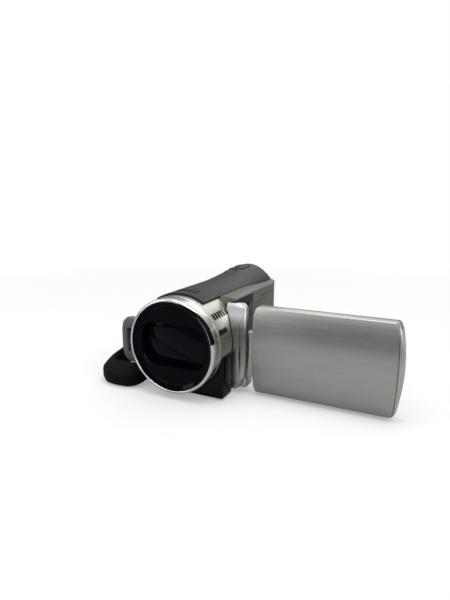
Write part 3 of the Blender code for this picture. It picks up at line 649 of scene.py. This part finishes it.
def make_sleeve():
    rows = []
    steps = 180
    for i in range(steps):
        turn = 360 * i / steps
        c, s = math.cos(math.radians(turn)), math.sin(math.radians(turn))
        end = sleeve_end(turn)
        profile = [
            (SLEEVE_INNER, SLEEVE_START),
            (SLEEVE_OUTER - 0.25, SLEEVE_START),
            (SLEEVE_OUTER, SLEEVE_START + 0.25),
            (SLEEVE_OUTER, end - 0.2),
            (SLEEVE_OUTER - 0.2, end),
            (SLEEVE_INNER, end),
        ]
        rows.append([at(r * c, d, LENS_Z + r * s) for r, d in profile])
    bm = skin(rows, closed_ends=True)
    add_piece(
        "barrel_sleeve_satin", bm, SLEEVE_METAL, replaces=["barrel_sleeve"]
    )


def make_lining():
    """The black lining inside the sleeve, seen past the open shutter."""
    outer, inner = SLEEVE_INNER - 0.02, SLEEVE_INNER - 0.12
    profile = [(outer, SLEEVE_START), (inner, SLEEVE_START), (inner, LINING_END), (outer, LINING_END)]
    bm = skin(lathe_rows(profile), closed_ends=True)
    add_piece("barrel_lining", bm, MATTE_BLACK)


SLOT_ANGLES = (34.5, 42.5)
SLOT_START = 10.4
SLOT_PITCH = 2.8
SLOT_LENGTH = 1.9
SLOT_COUNT = 6
PLATE_ANGLES = (16, 22)
PLATE_DEPTHS = (9.5, 18.5)


def make_barrel_marks():
    """A plain plate and a row of plain slots on the sleeve's door side."""
    patch("barrel_plate_lower", PLATE_ANGLES, PLATE_DEPTHS)
    for i in range(SLOT_COUNT):
        depth = SLOT_START + SLOT_PITCH * i
        patch(f"barrel_slot_{i + 1}", SLOT_ANGLES, (depth, depth + SLOT_LENGTH))


WINDOW_RADIUS = 20.2
WINDOW_HALF_HEIGHT = 12.1
WINDOW_POWER = 16  # higher makes its corners tighter
RIM_STEPS = 144
FRONT_PROFILE = [
    (24.4, 5.0),
    (24.5, 1.1),
    (24.3, 0.95),
    (22.3, 1.9),
    (22.1, 1.75),
    (21.7, 1.75),
    (21.5, 2.0),
]
FRAME_STEPS = [(0.0, 2.05), (0.25, 2.3), (1.0, 4.6), (1.0, 5.0)]  # (inset, depth)


def rim_turns():
    return [2 * math.pi * (i + 0.5) / RIM_STEPS for i in range(RIM_STEPS)]


def window_outline(inset):
    """The lens window: a circle cut off flat above and below, with rounded corners."""
    loop = []
    for turn in rim_turns():
        c, s = math.cos(turn), math.sin(turn)
        flat = abs(s) / (WINDOW_HALF_HEIGHT - inset)
        curve = (WINDOW_RADIUS - inset) ** -WINDOW_POWER
        reach = (flat**WINDOW_POWER + curve) ** (-1 / WINDOW_POWER)
        loop.append((reach * c, reach * s))
    return loop


def make_front_glass():
    """The black front plate: a dished rim, a fine raised ring, and the window's sloping frame."""
    loops = [
        [(r * math.cos(turn), r * math.sin(turn), depth) for turn in rim_turns()]
        for r, depth in FRONT_PROFILE
    ]
    for inset, depth in FRAME_STEPS:
        loops.append([(x, z, depth) for x, z in window_outline(inset)])
    rows = [[at(x, d, LENS_Z + z) for x, z, d in loop] for loop in loops]
    bm = skin(rows, closed_ends=True)
    add_piece("front_glass_plate", bm, GLASS_BLACK, replaces=["front_bezel"])


# ---------------------------------------------------------------- door side

COLUMN_Z = span("hinge_column", 2)
COLUMN_REACH = span("hinge_column", 0)[1]
COLUMN_FRONT = 22.6
COLUMN_LEAN = 6.4
COLUMN_BACK = 25.9
COLUMN_FOOT_TOP = 9.6
COLUMN_FOOT_BACK = 33.9
CREASE_X = 29.7
SLEEVE_ROOM = 26.8
WALL_X = 20.0


def column_section(z, end):
    """The pillar's section at a height: (x, depth) along the flat face, the groove and the roll.

    end is 0 at the pillar's middle and 1 at its top and bottom.
    """
    low_corner, high_corner = max(0.0, (7.2 - z) / 4.6), max(0.0, (z - 48.0) / 2.6)
    corner = 3.0 * low_corner**2 + 2.4 * high_corner**2
    reach = COLUMN_REACH - 3.0 * end - corner
    front = COLUMN_FRONT + COLUMN_LEAN * smooth((z - 36.0) / 17.0) + 0.3 * corner
    back = COLUMN_FOOT_BACK if z < COLUMN_FOOT_TOP else max(COLUMN_BACK, front + 3.2)
    inner = max(WALL_X + 0.3, math.sqrt(max(0.0, SLEEVE_ROOM**2 - (z - LENS_Z) ** 2)))
    crease = min(CREASE_X + 1.6 * end, reach - 1.4)
    section = []
    for j in range(9):
        share = j / 8
        section.append((inner + (crease - inner) * share, front + 0.35 * share**4))
    section += [(crease + 0.12, front + 0.62), (crease + 0.3, front + 0.62)]
    for j in range(1, 11):
        turn = math.pi / 2 * j / 10
        x = crease + 0.3 + (reach - crease - 0.3) * math.sin(turn)
        section.append((x, back - (back - front - 0.3) * math.cos(turn)))
    section.append((inner, back))
    return section


def make_column():
    """The pillar beside the lens: a flat face with upright grain, and a roll along its outer edge."""
    rows = []
    steps = 60
    middle = sum(COLUMN_Z) / 2
    half = (COLUMN_Z[1] - COLUMN_Z[0]) / 2
    for i in range(steps + 1):
        z = middle - half * math.cos(math.pi * i / steps)
        end = ((z - middle) / half) ** 2
        rows.append([at(x, d, z) for x, d in column_section(z, end)])
    bm = skin(rows)
    add_piece(
        "hinge_column_brushed", bm, COLUMN_METAL, replaces=["hinge_column"]
    )


RECESS_BLOCKS = [  # name, finish, x, depth, z, slot, bevel
    # Painted shade: a black block where the deep gap behind the pillar's top lies in shade.
    (
        "hinge_painted_shade_upper",
        MATTE_BLACK,
        (21.0, 31.8),
        (29.6, 33.0),
        (41.9, 48.4),
        "black_plastic",
        0.4,
    ),
    (
        "hinge_foot_cap",
        COLUMN_METAL,
        (21.0, 33.6),
        (25.6, 34.1),
        (3.2, 9.7),
        "brushed_aluminium",
        1.3,
    ),
    # Painted shade: a black plate on the wall where it is seen in shade through the gap past the
    # hinge.
    (
        "wall_painted_shade_plate",
        MATTE_BLACK,
        (WALL_X - 0.3, WALL_X + 0.2),
        (34, 66),
        (20, 49),
        "black_plastic",
        0.14,
    ),
]


def make_recess():
    """The hinge's foot behind the door, a black block for painted shade behind the pillar's top, and
    a black plate for painted shade on the wall.
    """
    for block in RECESS_BLOCKS:
        make_block(*block)


SHOULDER_EDGE = [  # (x, z) along the casing's ledge, and the angle on the barrel that it meets
    (14.8, 53.1, 57.5),
    (19.0, 53.0, 53.0),
    (22.6, 52.7, 49.5),
    (23.9, 52.1, 47.0),
    (23.4, 51.5, 45.0),
    (20.1, 50.8, 43.0),
    (20.1, 47.2, 40.5),
]
SHOULDER_RADIUS = 26.5


def make_shoulder():
    """Closes the step between the barrel sleeve and the ledge of the door-side casing."""
    outer = [(x, z) for x, z, _ in SHOULDER_EDGE]
    inner = []
    for _, _, turn in SHOULDER_EDGE:
        angle = math.radians(turn)
        x, rise = SHOULDER_RADIUS * math.cos(angle), SHOULDER_RADIUS * math.sin(angle)
        inner.append((x, LENS_Z + rise))
    lines = [(outer, 31.8), (outer, 31.0), (inner, 30.0), (inner, 31.0)]
    rows = [[at(x, depth, z) for x, z in line] for line, depth in lines]
    bm = skin(rows, closed_rows=False, closed_ends=True)
    add_piece("shoulder_flange", bm, SHELL_PAINT)


# ---------------------------------------------------------------- rear, doors and screen

DIAL_CENTRE = (-12.0, 49.0)
BATTERY_X = (-24.0, 8.0)
BATTERY_Z = (4.0, 39.0)
BATTERY_FACE = 131.0
BATTERY_SEAM = 122.0
RIB_COUNT = 4
RIB_START = 29.6
RIB_PITCH = 1.7
RIB_WIDTH = 0.9
DIAL_RADIUS = 7.82
DIAL_RIDGES = 40


def make_battery_shell(name, inset, depth, bevel, replaces=()):
    x = (BATTERY_X[0] + inset, BATTERY_X[1] - inset)
    z = (BATTERY_Z[0] + inset, BATTERY_Z[1] - inset)
    make_block(
        name, BATTERY_BLACK, x, depth, z, "black_plastic", bevel, "battery_pack", replaces
    )


def make_battery():
    """The battery: two shells round a core, with a plain label and finger ribs on its end."""
    front = (103.0, BATTERY_SEAM - 0.15)
    end = (BATTERY_SEAM + 0.15, BATTERY_FACE)
    make_battery_shell("battery_front_shell", 0.0, front, 1.8, ["battery_pack"])
    make_battery_shell("battery_core", 0.45, (106.0, 128.0), 1.4)
    make_battery_shell("battery_end_shell", 0.0, end, 1.8)
    face = (BATTERY_FACE - 0.1, BATTERY_FACE + 0.12)
    x, z = (-20.6, 4.6), (7.6, 27.0)
    make_block("battery_label", LABEL_GREY, x, face, z, "grey_plastic", 0.1, "battery_pack")
    x, face = (-18.0, 2.0), (BATTERY_FACE - 0.2, BATTERY_FACE + 0.35)
    for i in range(RIB_COUNT):
        foot = RIB_START + RIB_PITCH * i
        z = (foot, foot + RIB_WIDTH)
        name = f"battery_rib_{i + 1}"
        make_block(name, BATTERY_BLACK, x, face, z, "black_plastic", 0.25, "battery_pack")


def make_dial_grip():
    """Ridges round the mode dial, and an index mark on its face."""
    x, z = DIAL_CENTRE
    rows = []
    steps = DIAL_RIDGES * 6
    for i in range(steps):
        turn = 2 * math.pi * i / steps
        radius = DIAL_RADIUS + 0.16 * max(0.0, math.sin(turn * DIAL_RIDGES))
        loop = ((7.3, 116.7), (radius, 116.9), (radius, 119.2), (7.3, 119.7))
        rows.append([at(x + r * math.cos(turn), d, z + r * math.sin(turn)) for r, d in loop])
    bm = skin(rows, closed_ends=True)
    add_piece("mode_dial_grip", bm, MATTE_GREY, "mode_dial")
    mark_x, mark_z = (x - 0.35, x + 0.35), (z + 5.9, z + 7.2)
    face = (119.7, 120.1)
    slot = "champagne_silver"
    make_block("mode_dial_mark", FRAME_METAL, mark_x, face, mark_z, slot, 0.1, "mode_dial")


def make_record_ring():
    """A bright ring round the rear record button."""
    ring = [
        (4.5, 119.2),
        (4.55, 119.55),
        (4.8, 119.62),
        (4.98, 119.45),
        (4.98, 118.6),
        (4.5, 118.6),
    ]
    bm = skin(lathe_rows(ring, steps=72, centre=DIAL_CENTRE), closed_ends=True)
    add_piece("record_button_ring", bm, CHROME, "record_button")


def make_screen():
    """The picture area behind the screen's window, and two bumpers on the door's inner side."""
    x, z = span("display_window", 0), span("display_window", 2)
    depth = span("display_window", 1)[1]
    picture_x, picture_z = (x[0] + 1.6, x[1] - 1.6), (z[0] + 1.5, z[1] - 1.5)
    face = (depth - 0.05, depth + 0.04)
    name, slot = "screen_picture_area", "screen_glass"
    make_block(name, SCREEN_DARK, picture_x, face, picture_z, slot, 0.03, "screen_door")
    bumper = [(0.0, depth + 0.6), (0.9, depth + 0.55), (1.2, depth + 0.3), (1.2, depth - 0.2)]
    for i, height in enumerate((z[0] + 1.0, z[1] - 1.0)):
        rows = lathe_rows(bumper, steps=24, centre=(x[1] + 2.2, height))
        bm = skin(rows, closed_rows=False, closed_ends=True)
        add_piece(f"door_bumper_{i + 1}", bm, MATTE_BLACK, "screen_door")


def make_notch(door, depth, z):
    face = span(door, 0)[1]
    x = (face - 0.3, face + 0.04)
    make_block(f"{door}_notch", MATTE_BLACK, x, depth, z, "black_plastic", 0.1, door)


def make_door_notches():
    """A dark fingernail notch on each small door of the door side."""
    middle = sum(span("card_door", 1)) / 2
    top = span("card_door", 2)[1] - 0.8
    make_notch("card_door", (middle - 3.0, middle + 3.0), (top - 0.9, top))
    low, high = span("terminal_door", 1)
    front = low + 0.12 * (high - low)
    top = sum(span("terminal_door", 2)) / 2 + 2.0
    make_notch("terminal_door", (front - 0.5, front + 0.5), (top - 4.0, top))


SOCKETS = [(0.80, 7.0, 2.6), (0.52, 8.4, 3.4), (0.22, 9.6, 3.6)]  # (height share, width, height)
SOCKET_PARTS = [("frame", STEEL, 0.0, 0.12), ("mouth", INLAY_BLACK, 0.6, 0.16)]


def make_sockets():
    """Three metal-framed sockets on the block behind the terminal door."""
    face = span("socket_block", 0)[1]
    depth, z = span("socket_block", 1), span("socket_block", 2)
    middle = sum(depth) / 2
    for i, (share, width, height) in enumerate(SOCKETS):
        centre = z[0] + (z[1] - z[0]) * share
        for part, finish, inset, lift in SOCKET_PARTS:
            half, rise = width / 2 - inset, height / 2 - inset
            sides, ends = (middle - half, middle + half), (centre - rise, centre + rise)
            name = f"socket_{part}_{i + 1}"
            make_block(name, finish, (face - 0.2, face + lift), sides, ends, "steel", 0.1)


# ---------------------------------------------------------------- hand strap

PAD_PATH = [  # x, depth, the heights of its lower edge, middle and top, and the top's lean inwards
    (-27.4, 19.4, 2.6, 7.0, 13.6, 0.6),
    (-27.0, 13.0, 1.6, 6.6, 13.6, 2.0),
    (-27.8, 7.6, 0.8, 6.4, 13.4, 4.4),
    (-31.0, 3.8, 0.5, 6.4, 13.0, 7.4),
    (-36.0, 2.6, 0.5, 6.6, 12.4, 9.0),
    (-41.4, 2.7, 0.5, 7.0, 12.0, 9.0),
    (-46.2, 3.7, 0.5, 7.4, 12.0, 7.4),
    (-50.2, 7.0, 0.5, 7.8, 12.4, 5.4),
    (-52.6, 12.4, 0.5, 8.2, 13.2, 4.0),
    (-54.0, 19.0, 0.5, 8.6, 14.0, 3.4),
    (-54.8, 27.0, 0.6, 9.4, 15.0, 3.4),
    (-55.2, 37.0, 1.2, 11.0, 18.6, 3.4),
    (-54.8, 48.0, 3.4, 14.0, 24.0, 3.0),
    (-53.2, 59.0, 6.6, 17.4, 29.4, 2.6),
    (-50.6, 70.0, 10.2, 20.4, 33.2, 2.0),
    (-47.0, 82.0, 14.0, 23.6, 35.4, 1.0),
    (-42.6, 94.0, 17.8, 26.0, 35.0, 0.0),
]


def band_frames(path):
    """For each path point: the point, the inward direction, and the distance run so far."""
    frames, run = [], 0.0
    for i, point in enumerate(path):
        before, after = path[max(i - 1, 0)], path[min(i + 1, len(path) - 1)]
        along = Vector((after[0] - before[0], after[1] - before[1])).normalized()
        if i:
            run += math.dist(point[:2], path[i - 1][:2])
        frames.append((point, Vector((along.y, -along.x)), run))
    return frames


def band_height(point, share):
    """A place on the band's middle surface: (lean inwards, height) for a share of its width."""
    _, _, low, middle, top, lean = point
    height = low + (top - low) * share
    above = max(0.0, (height - middle) / (top - middle))
    return lean * above**1.3, height


def band_normal(point, share):
    """The band's inward normal at a share of its width, as (inwards, upwards)."""
    low, high = band_height(point, max(0.0, share - 0.04)), band_height(point, min(1.0, share + 0.04))
    return Vector((high[1] - low[1], low[0] - high[0])).normalized()


def pad_point(point, inward, share, thickness):
    """A place on the pad, a distance inwards (or outwards, if negative) from its middle surface."""
    lean, height = band_height(point, share)
    normal = band_normal(point, share) * thickness
    offset = lean + normal.x
    return at(point[0] + inward.x * offset, point[1] + inward.y * offset, height + normal.y)


def pad_half_thickness(edge):
    """Half the pad's thickness: thin at the very edge, then a flat binding, then a soft crown."""
    if edge < 0.03:
        return 0.25
    if edge < 0.16:
        return 1.1
    return 0.75 + 1.45 * math.sin(min(1.0, edge * 1.25) * math.pi / 2) ** 0.8


def round_the_band(across):
    """(side, share of the width) for each point of a band's section: out and back again."""
    shares = [j / (across - 1) for j in range(across)]
    return [(-1, share) for share in shares] + [(1, share) for share in reversed(shares)]


def band_uvs(lengths, across, width):
    """UVs in millimetres: the distance along the band, and the distance across it."""

    def spot(i, j):
        share = j / across
        return (lengths[min(i, len(lengths) - 1)], (share if share < 1 else 2 - share) * width)

    return spot


PAD_ACROSS = 28
PAD_WIDTH = 24.0


def make_pad():
    """A crowned, bound and stitched nylon pad that droops to the table in front."""
    path = curve_through(PAD_PATH, 9)
    rows, lengths = [], []
    for point, inward, run in band_frames(path):
        row = []
        for side, share in round_the_band(PAD_ACROSS):
            edge = min(share, 1 - share) / 0.5
            pleat = 0.10 * math.sin(run * 0.55) * math.sin(edge * math.pi)
            thickness = side * (pad_half_thickness(edge) + pleat)
            row.append(pad_point(point, inward, share, thickness))
        rows.append(row)
        lengths.append(run)
    bm = skin(rows, uvs=band_uvs(lengths, PAD_ACROSS, PAD_WIDTH))
    add_piece("strap_pad_padded", bm, PAD_WEAVE, replaces=["strap_pad"])
    stitch_pad(path)


STITCH_LINES = (0.11, 0.89)  # shares of the pad's width
STITCH_PITCH = 2.6
STITCH_SIZE = (0.9, 0.28, 0.28)


def stitch_pad(path):
    """Two lines of running stitches just inside the pad's binding, on its outer face."""
    bm = bmesh.new()
    frames = band_frames(path)
    for share in STITCH_LINES:
        next_at = 1.5
        for (point, inward, run), (following, _, _) in zip(frames, frames[1:]):
            if run < next_at:
                continue
            next_at = run + STITCH_PITCH
            centre = pad_point(point, inward, share, -1.25)
            step = Vector((following[0] - point[0], following[1] - point[1], 0)).normalized()
            turn = step.to_track_quat("X", "Z").to_matrix().to_4x4()
            size = Matrix.Diagonal((*(length * MM for length in STITCH_SIZE), 1.0))
            place = Matrix.Translation(centre) @ turn @ size
            bmesh.ops.create_icosphere(bm, subdivisions=1, radius=1.0, matrix=place)
    add_piece("pad_stitches", bm, THREAD)


BELT_ACROSS = 14
BELT_HALF_THICKNESS = 0.65


def belt_half_thickness(edge):
    """Half the webbing's thickness: thin at the very edge, then a slightly raised border."""
    if edge < 0.02:
        return 0.45 * BELT_HALF_THICKNESS
    if edge > 0.12:
        return BELT_HALF_THICKNESS
    return 1.12 * BELT_HALF_THICKNESS


def make_belt(name, path, replaces=()):
    """Flat webbing along (x, depth, low, high) points, with slightly rolled edges."""
    rows, lengths = [], []
    for (x, depth, low, high), inward, run in band_frames(curve_through(path, 8)):
        row = []
        for side, share in round_the_band(BELT_ACROSS):
            offset = side * belt_half_thickness(min(share, 1 - share))
            height = low + (high - low) * share
            row.append(at(x + inward.x * offset, depth + inward.y * offset, height))
        rows.append(row)
        lengths.append(run)
    width = path[0][3] - path[0][2]
    bm = skin(rows, uvs=band_uvs(lengths, BELT_ACROSS, width))
    add_piece(name, bm, BELT_WEAVE, replaces=replaces)


def make_strap():
    """The pad, the belt through the front bracket, and the belt through the rear bracket."""
    make_pad()
    front = [
        (-33.0, 29.0, 19.4, 33.0),
        (-33.0, 21.0, 19.4, 33.0),
        (-33.8, 17.6, 19.4, 33.0),
        (-37.0, 16.6, 19.4, 33.0),
        (-40.2, 17.6, 19.4, 33.0),
        (-42.2, 21.6, 19.4, 33.0),
        (-43.8, 28.0, 18.8, 32.4),
        (-45.4, 36.0, 17.6, 31.0),
        (-46.8, 46.0, 14.6, 28.0),
        (-46.6, 55.0, 12.4, 25.8),
    ]
    make_belt("front_belt_webbing", front, replaces=["strap_belt"])
    rear = [
        (-43.6, 88.0, 20.6, 33.4),
        (-41.6, 96.0, 20.6, 33.4),
        (-40.8, 101.0, 20.6, 33.4),
        (-40.3, 106.0, 20.6, 33.4),
        (-38.2, 108.4, 20.6, 33.4),
        (-34.8, 107.0, 20.6, 33.4),
        (-33.4, 103.0, 20.6, 33.4),
        (-34.6, 98.0, 20.6, 33.4),
        (-38.8, 94.6, 20.6, 33.4),
        (-42.2, 91.0, 20.6, 33.4),
    ]
    make_belt("rear_belt_webbing", rear)


# ---------------------------------------------------------------- stage


FLOOR_SIZE = 6.0


def make_floor():
    bpy.ops.mesh.primitive_plane_add(size=FLOOR_SIZE, location=(0, 0, CAD_BOX[0].z))
    floor = bpy.context.object
    floor.name = "paper_floor"
    floor.data.materials.append(floor_material())


SKY_LEVELS = [(0.0, 0.30), (0.49, 0.25), (0.53, 0.16), (0.64, 0.22), (0.80, 0.62), (1.0, 0.85)]


def make_world():
    """Soft room light with a bright ceiling for the metal to mirror; the backdrop itself is white."""
    world = bpy.data.worlds.new("studio")
    bpy.context.scene.world = world
    world.use_nodes = True
    tree = world.node_tree
    for node in list(tree.nodes):
        tree.nodes.remove(node)
    output = tree.nodes.new("ShaderNodeOutputWorld")
    coords = tree.nodes.new("ShaderNodeTexCoord")
    split = tree.nodes.new("ShaderNodeSeparateXYZ")
    ramp = tree.nodes.new("ShaderNodeValToRGB")
    tree.links.new(coords.outputs["Generated"], split.inputs[0])
    lift = tree.nodes.new("ShaderNodeMapRange")
    lift.inputs[1].default_value = -1.0
    lift.inputs[2].default_value = 1.0
    tree.links.new(split.outputs[2], lift.inputs[0])
    tree.links.new(lift.outputs[0], ramp.inputs[0])
    elements = ramp.color_ramp.elements
    for position, _ in SKY_LEVELS[1:-1]:
        elements.new(position)
    for element, (_, level) in zip(elements, SKY_LEVELS):
        element.color = (level * 0.98, level, level * 1.02, 1.0)
    room = tree.nodes.new("ShaderNodeBackground")
    backdrop = tree.nodes.new("ShaderNodeBackground")
    backdrop.inputs["Color"].default_value = (1.0, 1.0, 1.0, 1.0)
    backdrop.inputs["Strength"].default_value = 1.0
    tree.links.new(ramp.outputs[0], room.inputs["Color"])
    mix = tree.nodes.new("ShaderNodeMixShader")
    rays = tree.nodes.new("ShaderNodeLightPath")
    tree.links.new(rays.outputs["Is Camera Ray"], mix.inputs[0])
    tree.links.new(room.outputs[0], mix.inputs[1])
    tree.links.new(backdrop.outputs[0], mix.inputs[2])
    tree.links.new(mix.outputs[0], output.inputs[0])


def area_light(name, location, target, size, power, colour=(1, 1, 1)):
    data = bpy.data.lights.new(name, "AREA")
    data.shape = "RECTANGLE"
    data.size, data.size_y = size
    data.energy = power
    data.color = colour
    light = bpy.data.objects.new(name, data)
    bpy.context.scene.collection.objects.link(light)
    light.location = location
    light.rotation_euler = (Vector(target) - Vector(location)).to_track_quat("-Z", "Y").to_euler()


def make_lights():
    middle = (0, 0, 0.03)
    area_light("ceiling_box", (0.05, -0.10, 0.75), (0.02, 0, 0.03), (0.7, 0.5), 2.6)
    area_light("left_box", (-0.65, -0.45, 0.35), middle, (0.4, 0.5), 1.2, (1, 0.98, 0.95))
    area_light("right_box", (0.75, -0.25, 0.45), (0.03, 0, 0.03), (0.35, 0.45), 1.3, (0.95, 0.98, 1))
    area_light("back_box", (0.0, 0.75, 0.45), middle, (0.5, 0.4), 0.45)


CAMERA_PLACE = (127.3, -191.9, 77.0)  # from the middle of the lens front
CAMERA_AZIMUTH = 26.2
CAMERA_ELEVATION = 12.6
CAMERA_LENS = 27.0
CAMERA_SENSOR = 36.0


def make_camera():
    data = bpy.data.cameras.new("camera")
    data.lens = CAMERA_LENS
    data.sensor_width = CAMERA_SENSOR
    camera = bpy.data.objects.new("camera", data)
    bpy.context.scene.collection.objects.link(camera)
    x, y, z = CAMERA_PLACE
    camera.location = at(x, y, LENS_Z + z)
    azimuth, elevation = math.radians(CAMERA_AZIMUTH), math.radians(CAMERA_ELEVATION)
    level = math.cos(elevation)
    forward = Vector((-math.sin(azimuth) * level, math.cos(azimuth) * level, -math.sin(elevation)))
    camera.rotation_euler = forward.to_track_quat("-Z", "Y").to_euler()
    bpy.context.scene.camera = camera


bpy.context.scene.view_settings.view_transform = "Standard"
dress_cad_nodes()
make_ring()
make_inlay()
make_sleeve()
make_lining()
make_barrel_marks()
make_front_glass()
make_column()
make_recess()
make_shoulder()
make_battery()
make_dial_grip()
make_record_ring()
make_screen()
make_door_notches()
make_sockets()
make_strap()
make_floor()
make_world()
make_lights()
make_camera()

bpy.context.view_layer.update()
